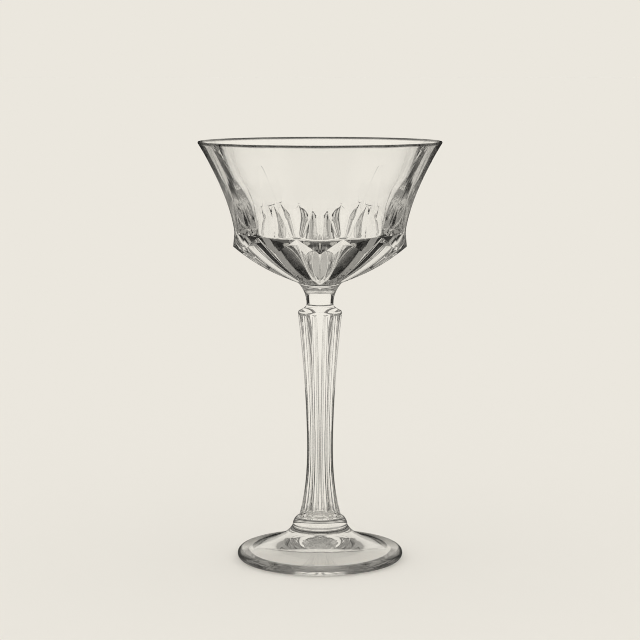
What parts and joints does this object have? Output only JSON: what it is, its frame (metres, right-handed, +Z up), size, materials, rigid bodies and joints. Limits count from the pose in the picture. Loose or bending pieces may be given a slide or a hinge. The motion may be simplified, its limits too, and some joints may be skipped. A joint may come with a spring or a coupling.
{
  "type": "champagne coupe",
  "caption": "Clear pressed-glass champagne coupe: flared fluted bowl with a girdle of diamonds and grooved petals below, slender neck, tapering fluted stem, collar and round foot.",
  "frame": {"origin": "middle of the foot's resting plane, on the table", "axes": "+Z up along the glass's axis towards the rim; -Y is the side that faces the picture's camera, with a ridge of the cut pattern on it"},
  "size_m": [0.1, 0.1, 0.173],
  "materials": {
    "clear_glass": "fire-polished pressed clear glass"
  },
  "bodies": {
    "root": {"bowl": "clear_glass", "neck": "clear_glass", "stem": "clear_glass", "collar": "clear_glass", "foot": "clear_glass"}
  },
  "joints": []
}
